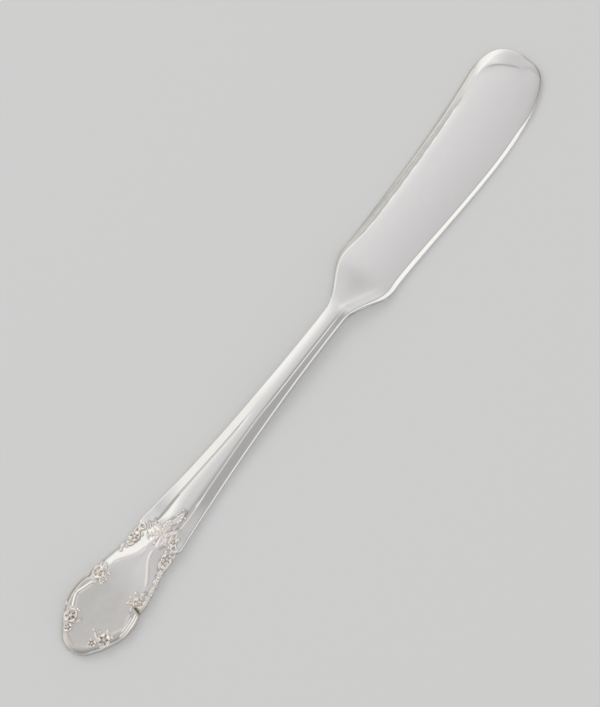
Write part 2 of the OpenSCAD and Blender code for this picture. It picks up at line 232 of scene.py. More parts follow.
def distanceTo(path, x, y):
    # least distance of every grid point from the straight pieces of a path
    best = np.full(np.shape(x), 1e6)
    for (ax, ay), (bx, by) in zip(path[:-1], path[1:]):
        runX, runY = bx - ax, by - ay
        t = np.clip(((x - ax) * runX + (y - ay) * runY) / max(runX ** 2 + runY ** 2, 1e-12), 0, 1)
        best = np.minimum(best, (x - ax - t * runX) ** 2 + (y - ay - t * runY) ** 2)
    return np.sqrt(best)


# Worked surface of the front, as thickness over the underside

form = {                         # mm; pairs: start or end, run; threes: strength, place, width;
    # fours: start, rise, end, fall along the knife. First the scalloped end
    "plateEnd": 34.0, "plateFade": (30.5, 4.0), "plateEdge": 0.8, "dish": 0.03, "dishRun": 3.2,
    "lobeFall": 0.03, "sweepFall": 0.5, "edgeSweepFall": 0.1, "sweepFrom": (13.0, 5.0),
    "borderRun": 1.9, "borderPower": 1.3, "notchWidth": 0.16, "notchDepth": 0.4,
    # shaft
    "grooveHalf": 0.17, "grooveDepth": 0.11, "neckGroove": 0.04,
    "grooveWear": 0.95, "grooveWorn": (37.0, 6.0, 66.0, 5.0),    # shallow mid-shaft on the edge side
    "bandLead": 3.4, "bandStep": 0.05, "bandHollow": 0.2, "bandStart": 0.35, "bandLift": (34.0, 11.0),
    "crownLead": (30.5, 4.0), "spineCrown": 0.15, "edgeCrown": 0.12, "startCrown": (0.2, 33.0, 3.0),
    "late": (54.0, 10.0), "flat": (83.0, 6.5), "spineFall": 0.33, "shoulderFall": 0.12,
    # blade
    "bladeCrown": 0.22, "crownHalf": 7.0, "sideBlend": (2.0, 6.0),
    "spineBevel": 1.75, "stripRoot": 0.3, "stripOpens": (92.0, 15.0),
    "stripFall": 0.035, "stripRun": 1.4, "stripMost": 1.4, "stripLength": (99.0, 15.0, 144.0, 10.0),
    "spineSlope": 0.6, "endSlope": 0.46, "slopeEases": (130.0, 12.0),
    "corner": (142.0, 4.0), "cornerBevel": 1.25, "cornerSlope": 0.36,
    "edgeRootBevel": 0.88, "edgeBevel": 0.74, "edgeNarrows": 20.0, "edgeSlope": 0.85,
    "edgeStart": 0.35, "edgeOpens": (90.0, 9.0),
    "belly": (137.0, 9.0), "bellyBevel": 0.12, "bellyFall": 0.06, "bellyRun": 1.6,
    "edgeSoft": 0.04, "spineSoft": 0.06, "tipSoft": 0.16,
    "creaseX": 138.0, "ridge": 0.07, "ridgeRun": 1.6, "ridgeSide": (-1.0, 3.0),
    "facetSlope": 0.15, "facetSoft": 0.06, "facetSide": (-2.5, 3.5),
    # shoulder
    "hollowX": 88.8, "hollowRun": 6.0, "hollowEnd": (100.0, 7.0), "hollowWidth": 0.6, "hollowOpens": 0.42,
    "scoopDepth": 0.045, "shoulderRidge": 0.1, "ridgeWidth": 0.9, "ridgeShelf": 1.1, "shelfSoft": 0.7,
    "ridgeLength": (neckX, 3.0, 98.0, 5.0), "merge": 0.8,
    # rims and foot
    "plateRound": 0.8, "plateDrop": 0.75, "handleRound": 0.38, "handleDrop": 0.4, "rimChange": (26.0, 4.0),
    "bladeRound": 0.28, "bladeDrop": 0.12, "foot": 0.3, "footRise": 0.25,
    "leastT": 0.42, "handleSoft": 0.2, "bladeSoft": 0.1,         # no rim is thinner than leastT
}
cartouche = np.array([           # half of the line round the plain field, from the tip to the collar
    (1.1, 0.0), (1.25, 0.9), (1.8, 2.05), (2.8, 2.95), (4.2, 3.6), (5.6, 4.0), (7.0, 4.6), (8.7, 5.45),
    (10.1, 6.1), (10.9, 5.7), (12.3, 5.3), (13.8, 4.85), (15.7, 4.65), (17.6, 4.5), (19.0, 4.2), (20.2, 3.7),
    (21.0, 3.2), (22.0, 2.5), (23.0, 1.8), (23.9, 1.3), (24.9, 0.95), (26.0, 0.8), (27.4, 0.75),
])
notches = {                      # cuts into the border at the waist, short on the spine side
    1: np.array([(14.25, 6.3), (14.1, 6.8)]),
    -1: np.array([(14.5, 5.0), (14.3, 5.8), (14.15, 6.8)]),
}


def alongPath(points, count):
    # smooth path through a few points: Catmull-Rom pieces, with its unit direction
    points = np.asarray(points, float)
    ends = np.vstack([2 * points[0] - points[1], points, 2 * points[-1] - points[-2]])
    t = np.linspace(0, len(points) - 1, count)
    k = np.minimum(t.astype(int), len(points) - 2)
    u = (t - k)[:, None]
    a, b, c, d = ends[k], ends[k + 1], ends[k + 2], ends[k + 3]
    path = (b + (c - a) * u / 2 + (2 * a - 5 * b + 4 * c - d) * u ** 2 / 2
            + (3 * b - a - 3 * c + d) * u ** 3 / 2)
    run = np.gradient(path, axis=0)
    return path, run / np.maximum(np.hypot(run[:, 0], run[:, 1]), 1e-9)[:, None]


crease = alongPath([             # line of the ridge across the tip of the blade
    (143.2, 9.2), (145.3, 7.1), (147.3, 5.2), (148.6, 3.1), (149.6, 0.7), (150.1, -1.6), (150.0, -4.0),
], 40)[0]
shoulderRidge = alongPath([      # line of the ridge from the neck to the edge
    (86.5, -0.8), (89.0, -1.3), (91.3, -2.5), (93.6, -3.6), (96.0, -4.6)], 24)[0]


def softMin(a, b, width):
    # lower of two heights, with the crease between them rounded over the given width
    h = np.clip(0.5 + 0.5 * (b - a) / width, 0, 1)
    return mix(b, a, h) - width * h * (1 - h)


tipAngles = np.linspace(0, math.pi / 3, 40)
sideX = np.arange(2.35, 36, 0.12)                            # from just past the round tip
handleSide = np.vstack([
    np.stack([knife["tipR"] * (1 - np.cos(tipAngles)), knife["tipR"] * np.sin(tipAngles)], 1),
    np.stack([sideX, handleHalf(sideX)], 1),
])
cornerX = edgeCornerX + knife["edgeCornerLen"] * np.sin(np.linspace(-0.5, math.pi / 2, 260))
bladeSide = np.vstack([
    np.stack([cornerX, spineY(cornerX)], 1),
    np.stack([cornerX[::-1], edgeY(cornerX[::-1])], 1),
])
trueBefore, trueBeyond = 33, 128                             # there the distance is to the outline itself


def edgeDistance(x, y):
    # distance from the outline: by the slope of each side, true near the scalloped end and the blade's tip
    step = 0.01
    slopeSpine = (spineY(x + step) - spineY(x - step)) / (2 * step)
    slopeEdge = (edgeY(x + step) - edgeY(x - step)) / (2 * step)
    d = np.minimum((spineY(x) - y) / np.hypot(1, slopeSpine), (y - edgeY(x)) / np.hypot(1, slopeEdge))
    nearEnd = x < trueBefore
    d[nearEnd] = distanceTo(handleSide, x[nearEnd], np.abs(y[nearEnd]))
    nearTip = x > trueBeyond
    d[nearTip] = distanceTo(bladeSide, x[nearTip], y[nearTip])
    return np.maximum(d, 0)


def beyondCrease(x, y):
    # distance from the ridge across the tip, positive on the tip's side of it
    side = np.where(x > np.interp(-y, -crease[:, 1], crease[:, 0]), 1, -1)
    return distanceTo(crease, x, y) * side


def roundOver(d, radius):
    # quarter circle across a rim: 0 at the outline, 1 from the radius inwards
    return np.sqrt(np.maximum(1 - (1 - np.minimum(d / radius, 1)) ** 2, 0))


def panelHalf(x, w):
    # half width of the raised panel: from the plate's rim it draws in along the round ends of the bands
    bandX = knife["terminalLen"] + form["bandLead"]
    lead = 1 - (1 - share(x, knife["terminalLen"], bandX)) ** 3
    width = mix(knife["panelRootW"], knife["panelNeckW"], ramp(x, bandX, knife["panelTaperLen"]))
    panel = width / 2 * w / np.maximum(handleHalf(x), 1e-6)
    plate = np.maximum(w - form["plateEdge"], 0.3 * w)
    return mix(plate, np.minimum(panel, plate), lead)


def notchDistance(x, y):
    # distance from the cut on the nearer side of the knife
    return np.where(y > 0, distanceTo(notches[1], x, y), distanceTo(notches[-1], x, -y))


def fieldDepth(x, y):
    # distance from the cartouche line, positive inside the plain field
    a = np.abs(y)
    inside = (a < np.interp(x, cartouche[:, 0], cartouche[:, 1])) & (x > cartouche[0, 0])
    return distanceTo(cartouche, x, a) * np.where(inside, 1, -1)


def plateT(x, y):
    # scalloped end: field inside the cartouche line, border that falls away outside it, a cut at each waist
    d = np.zeros(np.shape(x))
    near = x < form["plateEnd"]
    d[near] = fieldDepth(x[near], y[near])
    sweep = np.where(y > 0, form["sweepFall"], form["edgeSweepFall"])
    fall = mix(form["lobeFall"], sweep, ramp(x, *form["sweepFrom"]))
    dish = form["dish"] * ramp(d, 0, form["dishRun"])
    border = fall * (np.maximum(-d, 0) / form["borderRun"]) ** form["borderPower"]
    t = knife["terminalT"] - fade(x, *form["plateFade"]) * np.where(d > 0, dish, border)
    t[near] -= form["notchDepth"] * bell(notchDistance(x[near], y[near]), form["notchWidth"])
    return t


def shaftT(x, a, w, p, spineSide):
    # shaft: panel that is rounder on the spine side, groove, side band that falls to its outer edge with a
    # slight hollow; towards the neck the spine side rounds off to one crown, at the shoulder all flattens
    late = ramp(x, *form["late"])
    flat = ramp(x, *form["flat"])
    keep = np.where(spineSide, 1 - late, 1) * (1 - flat)
    step = form["bandStep"] * keep
    c = centreT(x)
    size = 2 * p / knife["panelRootW"] * ramp(x, *form["crownLead"])
    spineCrown = form["spineCrown"] + streak(x, *form["startCrown"])
    crown = size * np.where(spineSide, spineCrown, form["edgeCrown"])
    outT = mix(knife["bandEdgeT"], knife["neckEdgeT"], ramp(x, seatX, shaftRun))
    outT = np.where(x > neckX, outT * c / knife["neckT"], outT)
    outT = outT + form["bandStart"] * (1 - ramp(x, *form["bandLift"]))
    panel = c - crown * np.minimum(a / p, 1) ** np.where(spineSide, 2, 4)
    g = form["grooveHalf"]
    q = share(a, p + 2 * g, w)
    fall = c - crown - step - outT
    band = c - crown - step - fall * q - form["bandHollow"] * keep * fall * q * (1 - q)
    rubbed = np.where(spineSide, 0, form["grooveWear"]) * stretch(x, *form["grooveWorn"])
    groove = mix(form["grooveDepth"], form["neckGroove"], late) * keep * (1 - rubbed) * bell(a - p - g, g)
    section = np.where(a < p + g, panel, band) - groove
    section = mix(section, c - form["spineFall"] * (a / w) ** 2, late * spineSide)
    return mix(section, c - form["shoulderFall"] * (a / w) ** 2, flat)


def stripWidth(x):
    # width of the bevel along the spine: it opens behind the shoulder and then keeps its width
    return form["spineBevel"] * mix(form["stripRoot"], 1, ramp(x, *form["stripOpens"]))


def bladeT(x, y, d):
    # blade: nearly flat face, a bevel along each side that runs out at the belly, and at the tip a low
    # ridge with a slanted facet beyond it on the spine side
    mid, half = middle(x), halfWidth(x)
    c = centreT(x)
    crown = form["bladeCrown"] * np.minimum(half / form["crownHalf"], 1) ** 2
    face = c - crown * ((y - mid) / half) ** 2
    tip = ramp(x, *form["corner"])
    belly = ramp(x, *form["belly"])
    spineSide = smooth((y - mid) / mix(*form["sideBlend"], tip) + 0.5)
    edgeBevel = mix(form["edgeRootBevel"], form["edgeBevel"], ramp(x, shoulderX, form["edgeNarrows"]))
    edgeBevel = mix(edgeBevel, form["bellyBevel"], belly)
    edgeBevel = edgeBevel * mix(form["edgeStart"], 1, ramp(x, *form["edgeOpens"]))
    bevel = mix(edgeBevel, mix(stripWidth(x), form["cornerBevel"], tip), spineSide)
    edgeSlope = mix(form["edgeSlope"], form["cornerSlope"], belly)
    spineSlope = mix(form["spineSlope"], form["endSlope"], ramp(x, *form["slopeEases"]))
    slope = mix(edgeSlope, mix(spineSlope, form["cornerSlope"], tip), spineSide)
    rim = c - crown * np.maximum(1 - bevel / half, 0) ** 2 - slope * (bevel - d)
    soft = mix(form["edgeSoft"], mix(form["spineSoft"], form["tipSoft"], tip), spineSide)
    beyond = np.where(x > form["creaseX"], beyondCrease(x, y), -9.0)
    ridge = form["ridge"] * np.clip(1 + beyond / form["ridgeRun"], 0, 1) ** 2 * ramp(y, *form["ridgeSide"])
    facet = softMin(face + ridge, c + form["ridge"] - form["facetSlope"] * beyond, form["facetSoft"])
    face = mix(face, facet, ramp(y, *form["facetSide"]))
    strip = np.clip(1 - (d - bevel) / form["stripRun"], 0, form["stripMost"]) ** 2
    face = face - form["stripFall"] * stretch(x, *form["stripLength"]) * spineSide * strip
    face = face - form["bellyFall"] * belly * (1 - spineSide) * np.maximum(1 - d / form["bellyRun"], 0) ** 2
    return -softMin(-softMin(face, rim, soft), -form["leastT"], form["bladeSoft"])


def hollow(x, a):
    # shallow hollow in the shoulder, a wedge that opens towards the blade and runs out on its face
    reach = np.maximum(x - form["hollowX"], 0.01)
    wide = form["hollowWidth"] + form["hollowOpens"] * reach
    return ramp(reach, 0, form["hollowRun"]) * fade(x, *form["hollowEnd"]) * bell(a, wide)


def frontT(x, y):
    # thickness under any point of the front: plate, shaft and blade run into one another, then the
    # shoulder's hollow is taken off and its ridge put on
    mid, w = middle(x), halfWidth(x)
    a = np.abs(y - mid)
    d = edgeDistance(x, y)
    banded = ramp(x, knife["terminalLen"], form["bandLead"])
    handle = mix(plateT(x, y), shaftT(x, a, w, panelHalf(x, w), y > mid), banded)
    shaft = ramp(x, *form["rimChange"])
    rounding = roundOver(d, mix(form["plateRound"], form["handleRound"], shaft))
    handle = handle - mix(form["plateDrop"], form["handleDrop"], shaft) * (1 - rounding)
    handle = -softMin(-handle, -form["leastT"], form["handleSoft"])
    blade = bladeT(x, y, d) - form["bladeDrop"] * (1 - roundOver(d, form["bladeRound"]))
    off = y - np.interp(x, shoulderRidge[:, 0], shoulderRidge[:, 1])
    shelf = (np.hypot(off, form["shelfSoft"]) - off) / 2
    ridge = bell(np.maximum(off, 0), form["ridgeWidth"]) + form["ridgeShelf"] * shelf
    ridge = form["shoulderRidge"] * ridge * stretch(x, *form["ridgeLength"])
    merged = mix(handle, blade, ramp(x, neckX, form["merge"] * knife["shoulderLen"]))
    return merged - form["scoopDepth"] * hollow(x, a) + ridge


# Rings round the knife: lanes across the front from edge to spine, then the sides and the back

lanes = {                        # numbers of lanes, and their shares up to the panel's edge, groove and rim
    "front": 131, "back": 11, "rim": (0.6, 1.4), "shaftFrom": (knife["terminalLen"] - 1, 4.0),
    "plate": (0.78, 0.81, 0.84), "shaft": (0.42, 0.62, 0.86), "blade": (0.35, 0.42, 0.7),
}


def frontLanes(x, v):
    # distance from the middle as a share of the half width: closer lines at the grooves and along the rim
    w = halfWidth(x)
    lead, blade = ramp(x, *lanes["shaftFrom"]), widen(x)
    p = panelHalf(x, w) / w
    g = np.minimum(2 * form["grooveHalf"] / w, 0.3 * (1 - p))
    rim = np.minimum(mix(*lanes["rim"], blade) / w, 0.4 * (1 - p - g))
    marks = np.stack([0 * p, p, p + g, 1 - rim, 1 + 0 * p])
    bladeRim = np.minimum(lanes["rim"][1] / w, 0.35)
    plain = np.stack([0 * p, 0 * p + 0.5, 0 * p + 0.6, 1 - bladeRim, 1 + 0 * p])
    marks = mix(marks, plain, blade)
    shares = zip(lanes["plate"], lanes["shaft"], lanes["blade"])
    stops = [0, *[mix(mix(a, b, lead), c, blade) for a, b, c in shares], 1]
    out = np.zeros(np.shape(x))
    for k in range(4):
        t = share(np.abs(v), stops[k], stops[k + 1])
        out += (marks[k + 1] - marks[k]) * (np.sin(t * math.pi / 2) if k == 3 else t)
    return middle(x) + w * np.sign(v) * out


def ringPoints(x):
    # x has a row for each ring and a column for each of its lanes: front, spine side, back, edge side
    n, m = lanes["front"], lanes["back"]
    v = np.broadcast_to(np.linspace(-1, 1, n), (len(x), n))
    front = x[:, :n]
    yFront = frontLanes(front, v)
    zFront = under(front) + frontT(front, yFront)
    back = x[:, n:]
    ys, ye = spineY(back), edgeY(back)
    foot = np.minimum(form["foot"], 0.2 * halfWidth(back))
    inset = np.concatenate([[0, 0.3, 1], np.ones(m), [1, 0.3, 0]])   # a small round foot on each side
    rise = np.concatenate([[1, 0.3, 0], np.zeros(m), [0, 0.3, 1]])
    across = np.concatenate([[0, 0, 0], (np.arange(m) + 1) / (m + 1), [1, 1, 1]])
    low = np.minimum(form["footRise"], knife["edgeT"] / 2)
    yBack = mix(ys - foot * inset, ye + foot * inset, across)
    zBack = under(back) + low * rise
    return np.stack([x, np.concatenate([yFront, yBack], 1), np.concatenate([zFront, zBack], 1)], 2)


ringCount = lanes["front"] + lanes["back"] + 6
scarfFromX, scarfToX = neckX + knife["scarfInset"], shoulderX - knife["scarfInset"]
scarfFromZ = float(under(scarfFromX) + centreT(scarfFromX))
scarfSlope = (scarfFromZ - float(under(scarfToX))) / (scarfToX - scarfFromX)


def scarfRing(offset):
    # where each lane of the ring meets the sloping scarf, by halving; offset is measured square to it
    shift = offset * math.hypot(1, scarfSlope)
    low, high = np.full((1, ringCount), neckX - 2.0), np.full((1, ringCount), shoulderX + 2.0)
    for _ in range(40):
        x = (low + high) / 2
        above = ringPoints(x)[..., 2] > scarfFromZ - scarfSlope * (x - scarfFromX) + shift
        low, high = np.where(above, low, x), np.where(above, x, high)
    return (low + high) / 2


def shellFaces(rows, columns, first=0):
    # quads between neighbouring rings, facing out
    i, j = np.meshgrid(np.arange(rows - 1), np.arange(columns), indexing="ij")
    a, b = i * columns + j, i * columns + (j + 1) % columns
    return np.stack([a, a + columns, b + columns, b], 2).reshape(-1, 4) + first


def closedShell(rings, tarnishAndShade, startPoint=None, endPoint=None):
    # rings joined by quads, with a fan to the middle of each end ring; tarnish and painted shade run from 0
    # bright to 1 dark
    rows, columns = rings.shape[:2]
    ends = np.stack([rings[0].mean(0) if startPoint is None else startPoint,
                     rings[-1].mean(0) if endPoint is None else endPoint])
    j = np.arange(columns)
    k = (j + 1) % columns
    centre = np.full(columns, rows * columns)
    last = (rows - 1) * columns
    fans = np.concatenate([np.stack([centre, j, k], 1), np.stack([centre + 1, last + k, last + j], 1)])
    stain = np.concatenate([tarnishAndShade.ravel(), [tarnishAndShade[0].mean(), tarnishAndShade[-1].mean()]])
    return np.concatenate([rings.reshape(-1, 3), ends]), shellFaces(rows, columns), fans, stain


def toFrame(points):
    # knife millimetres to metres in the CAD frame
    return (points + (-endX / 2, axisY, 0)) / 1000


def addPiece(name, shells, node, material, sharpRows=()):
    # joins closed shells to one mesh, which rides on the root and stands for its CAD node
    verts, darknessParts, faces, count = [], [], [], 0
    for points, quads, fans, stain in shells:
        verts.append(points)
        darknessParts.append(stain)
        faces += (quads + count).tolist() + (fans + count).tolist()
        count += len(points)
    mesh = bpy.data.meshes.new(name)
    mesh.from_pydata(toFrame(np.concatenate(verts)).tolist(), [], faces)
    mesh.polygons.foreach_set("use_smooth", np.ones(len(mesh.polygons), bool))
    if len(sharpRows):
        ends = np.empty(2 * len(mesh.edges), np.int32)
        mesh.edges.foreach_get("vertices", ends)
        onRing = np.isin(ends.reshape(-1, 2), sharpRows).all(1)
        mesh.attributes.new("sharp_edge", "BOOLEAN", "EDGE").data.foreach_set("value", onRing)
    stain = np.concatenate(darknessParts).astype(np.float32)
    mesh.attributes.new("tarnishAndShade", "FLOAT", "POINT").data.foreach_set("value", stain)
    mesh.materials.append(material)
    item = bpy.data.objects.new(name, mesh)
    bpy.context.scene.collection.objects.link(item)
    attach(item, "root")
    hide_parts(node)
    print(name, len(mesh.vertices), "points", len(mesh.polygons), "faces")


# Ornament: every element is a closed shell, in mm, with its foot sunk in the front of the handle

footDepth = 0.6                  # how far a foot is sunk in the front
footFloor = 0.25                 # what it leaves above the underside
fineness = {                     # rings and lanes of each kind of element
    "blossom": (34, 90), "bead": (12, 28), "fluted": (26, 150), "scroll": (60, 14), "bar": 15,
}
flower = {                       # shares of a flower's radius; threes are strength, place and width
    "petals": 5, "oval": 0.10, "skew": 0.07, "notch": 0.14, "bossH": 0.40, "bossR": 0.28,
    "dimple": (0.08, 0.0, 0.1), "pit": (1.0, 0.55, 0.2), "pitWidth": 0.42, "pitDepth": 0.8,
    "petalH": 0.16, "petalRise": 0.26, "riseFrom": (0.34, 0.46), "tilt": 0.25, "lip": 0.14, "lipH": 0.3,
    "middleH": 0.46,
    "ringDark": (0.55, 0.36, 0.08), "pitDark": 0.95, "bossDark": (0.35, 0.0, 0.1),
    "rimDark": 0.15, "rimFrom": (0.94, 0.06),
}


def around(count):
    # angles of the lanes round an element, clockwise from above
    return np.linspace(0, -2 * math.pi, count, endpoint=False)[None, :]


def seatZ(x, y):
    # height of the handle's front under an ornament, kept off the rounded rim
    inner = np.maximum(handleHalf(x) - form["handleRound"], 0.1)
    return under(x) + frontT(x, np.clip(y, -inner, inner))


def onSide(rings, tarnishAndShade, side, ends=(None, None)):
    # spine side as it is, edge side mirrored, with the lanes turned round so that faces still point out;
    # heights count from the front of the handle, so that every element follows it
    turn = np.array([1, side, 1])
    rings = rings * turn
    x, y = rings[..., 0], rings[..., 1]
    rings[..., 2] = np.maximum(rings[..., 2] + seatZ(x, y), under(x) + footFloor)
    points = []
    for end in ends:
        if end is not None:
            end = np.array([end], float) * turn
            end = end[0] + (0, 0, max(seatZ(end[:, 0], end[:, 1])[0], footDepth + footFloor))
        points.append(end)
    if side < 0:
        rings, tarnishAndShade = rings[:, ::-1], tarnishAndShade[:, ::-1]
    return closedShell(rings, tarnishAndShade, *points)


def blossom(side, cx, cy, r, turn=0.0, stain=1.0):
    # polar height field: small boss, uneven petals that rise to a lip, a deep pit between every two of them
    count, lanesRound = fineness["blossom"]
    rho = np.concatenate([[1.0, 1.0], np.linspace(0.98, 0.03, count)])[:, None]
    theta = around(lanesRound)
    angle = theta - math.radians(turn)
    lobe = np.abs(np.cos(flower["petals"] * angle / 2))
    uneven = 1 + flower["oval"] * np.cos(2 * angle + 1) + flower["skew"] * np.cos(3 * angle + turn)
    reach = r * uneven * (1 - flower["notch"] + flower["notch"] * lobe ** 0.5)
    boss = flower["bossH"] * np.sqrt(np.maximum(1 - (rho / flower["bossR"]) ** 2, 0))
    boss = boss - streak(rho, *flower["dimple"])
    pit = bell(lobe, flower["pitWidth"]) * streak(rho, *flower["pit"])
    petal = flower["petalH"] + flower["petalRise"] * ramp(rho, *flower["riseFrom"])
    petal = petal * (1 - flower["pitDepth"] * pit) * (1 + flower["tilt"] * np.cos(angle + 2))
    lip = np.sqrt(np.clip((1 - rho) / flower["lip"], 0, 1))
    z = r * (boss + petal * mix(flower["lipH"], 1, lip))
    z[0] = -footDepth
    x, y = cx + reach * rho * np.cos(theta), cy + reach * rho * np.sin(theta)
    dark = streak(rho, *flower["ringDark"]) + flower["pitDark"] * pit + streak(rho, *flower["bossDark"])
    dark = stain * (dark + flower["rimDark"] * ramp(rho, *flower["rimFrom"]))
    ends = ((cx, cy, -footDepth), (cx, cy, r * flower["middleH"]))
    return onSide(np.stack([x, y, z], 2), np.clip(dark + 0 * x, 0, 1), side, ends)


beadDark = {"most": 0.2, "upTo": 0.4}     # share of full tarnish at the foot, and of the height it reaches


def bead(side, cx, cy, r):
    # half ball with a short foot
    count, lanesRound = fineness["bead"]
    angle = np.concatenate([[0.0], np.linspace(0.0, 1.5, count)])[:, None]
    theta = around(lanesRound)
    x, y = cx + r * np.cos(angle) * np.cos(theta), cy + r * np.cos(angle) * np.sin(theta)
    z = r * np.sin(angle) + 0 * theta
    z[0] = -footDepth
    dark = beadDark["most"] * (1 - ramp(np.sin(angle), 0, beadDark["upTo"])) + 0 * theta
    ends = ((cx, cy, -footDepth), (cx, cy, r))
    return onSide(np.stack([x, y, z], 2), dark, side, ends)


leaf = {                         # shares of the width and height of a bar or leaf, and of full tarnish
    "point": 0.004, "fullness": (0.8, 0.85), "lobeSwell": 0.16, "roundness": 2.2, "foot": 0.9,
    "ripple": 0.10, "ripples": 6, "rippleLean": 1.6, "veinWidth": 0.15,
    "veinDark": 0.6, "veinDarkWidth": 0.18, "sideDark": (0.75, 0.25), "footDark": 3,
}


def bar(side, points, width, height, count=40, ends=0.12, vein=0.0, lobes=0, leafy=0.0, stain=0.1,
        veil=0.0):
    # profile carried along a path: half-round bar with blunt ends, or pointed leaf with vein and lobes
    path, run = alongPath(points, count)
    s = np.linspace(0, 1, count)[:, None]
    point, (early, full) = leaf["point"], leaf["fullness"]
    blunt = np.sqrt(np.clip(np.minimum(s, 1 - s) / ends, point, 1))
    pointed = np.sin(math.pi * np.clip(s, point, 1 - point) ** early) ** full
    lobed = leaf["lobeSwell"] * leafy * np.cos(2 * math.pi * lobes * s) * (lobes > 0)
    size = mix(blunt, pointed, leafy) * (1 + lobed)
    t = np.linspace(-1, 1, fineness["bar"])[None, :]
    top = height * np.minimum(size, 1) * (1 - np.abs(t) ** leaf["roundness"])
    wave = np.sin(2 * math.pi * (leaf["ripples"] * s - leaf["rippleLean"] * np.abs(t)))
    ripple = leaf["ripple"] * height * leafy * wave * (1 - t * t) * size
    z = top - vein * height * size * bell(t, leaf["veinWidth"]) + ripple
    half = size * width / 2
    foot = leaf["foot"] * np.array([[1, 0, -1]])
    lateral = np.concatenate([half * t, half * foot], 1)     # front, then the foot
    z = np.concatenate([z, np.full((count, 3), -footDepth)], 1)
    dark = veil + leaf["veinDark"] * vein * bell(t, leaf["veinDarkWidth"])
    dark = np.clip(dark + stain * ramp(np.abs(t), *leaf["sideDark"]) + 0 * s, 0, 1)
    dark = np.concatenate([dark, np.full((count, 3), leaf["footDark"] * stain)], 1)
    x = path[:, :1] - run[:, 1:] * lateral
    y = path[:, 1:] + run[:, :1] * lateral
    return onSide(np.stack([x, y, z], 2), dark, side)


cushion = {                      # shares of the fluted cushion's reach and height, and of full tarnish
    "finger": 0.7, "reach": 0.82, "fingerReach": 0.18, "sway": 0.06, "fall": 0.7, "lip": 0.15,
    "base": 0.6, "fingerRise": 0.4, "riseFrom": (0.1, 0.4), "ripple": 0.12, "ripples": 14, "middleH": 0.6,
    "dark": 0.4, "darkWidth": 0.5, "darkFrom": (0.25, 0.3), "rimDark": 0.15, "rimFrom": (0.9, 0.1),
}


def fluted(side, cx, cy, reachX, reachY, tall, flutes):
    # low cushion with rounded flutes that radiate from its middle, like fingers laid side by side
    count, lanesRound = fineness["fluted"]
    rho = np.concatenate([[1.0], np.linspace(1.0, 0.03, count)])[:, None]
    theta = around(lanesRound)
    finger = np.abs(np.cos(flutes * theta / 2)) ** cushion["finger"]
    reach = cushion["reach"] + cushion["fingerReach"] * finger + cushion["sway"] * np.cos(3 * theta + 1)
    dome = (1 - cushion["fall"] * rho ** 2) * np.sqrt(np.clip((1 - rho) / cushion["lip"], 0, 1))
    z = tall * dome * (cushion["base"] + cushion["fingerRise"] * finger * ramp(rho, *cushion["riseFrom"]))
    wave = np.sin(cushion["ripples"] * rho + 2 * np.cos(theta))
    z = z + cushion["ripple"] * tall * wave * finger * (1 - rho)
    z[0] = -footDepth
    x, y = cx + reachX * reach * rho * np.cos(theta), cy + reachY * reach * rho * np.sin(theta)
    dark = cushion["dark"] * (1 - ramp(finger, 0, cushion["darkWidth"])) * ramp(rho, *cushion["darkFrom"])
    dark = dark + cushion["rimDark"] * ramp(rho, *cushion["rimFrom"])
    ends = ((cx, cy, -footDepth), (cx, cy, cushion["middleH"] * tall))
    return onSide(np.stack([x, y, z], 2), dark, side, ends)


curl = {                         # shares of the wire's thickness and length, and of full tarnish
    "thin": 0.75, "ends": 0.05, "lift": 0.6, "tall": 1.2, "dark": 0.6, "darkUpTo": (-0.2, 0.8),
}


def scroll(side, cx, cy, outer, inner, start, turns, wire):
    # round wire along a spiral that tightens and thins to its eye
    count, lanesRound = fineness["scroll"]
    s = np.linspace(0, 1, count)[:, None]
    angle = math.radians(start) + 2 * math.pi * turns * s
    radius = mix(outer, inner, s)
    thick = wire * mix(1, curl["thin"], s)
    thick = thick * np.sqrt(np.clip(np.minimum(s, 1 - s) / curl["ends"], 0.01, 1))
    beta = np.linspace(0, 2 * math.pi, lanesRound, endpoint=False)[None, :]
    out = np.sign(turns) * thick * np.cos(beta)      # the lane order follows the way the spiral runs
    x, y = cx + (radius + out) * np.cos(angle), cy + (radius + out) * np.sin(angle)
    z = thick * (curl["lift"] + curl["tall"] * np.sin(beta))
    dark = curl["dark"] * (1 - ramp(np.sin(beta), *curl["darkUpTo"])) + 0 * s
    return onSide(np.stack([x, y, z], 2), dark, side)


def rowsOf(make, keys):
    # turns rows of a table into elements: each row gives the values for the keys, in their order
    return lambda *rows: [(make, dict(zip(keys.split(), row))) for row in rows]


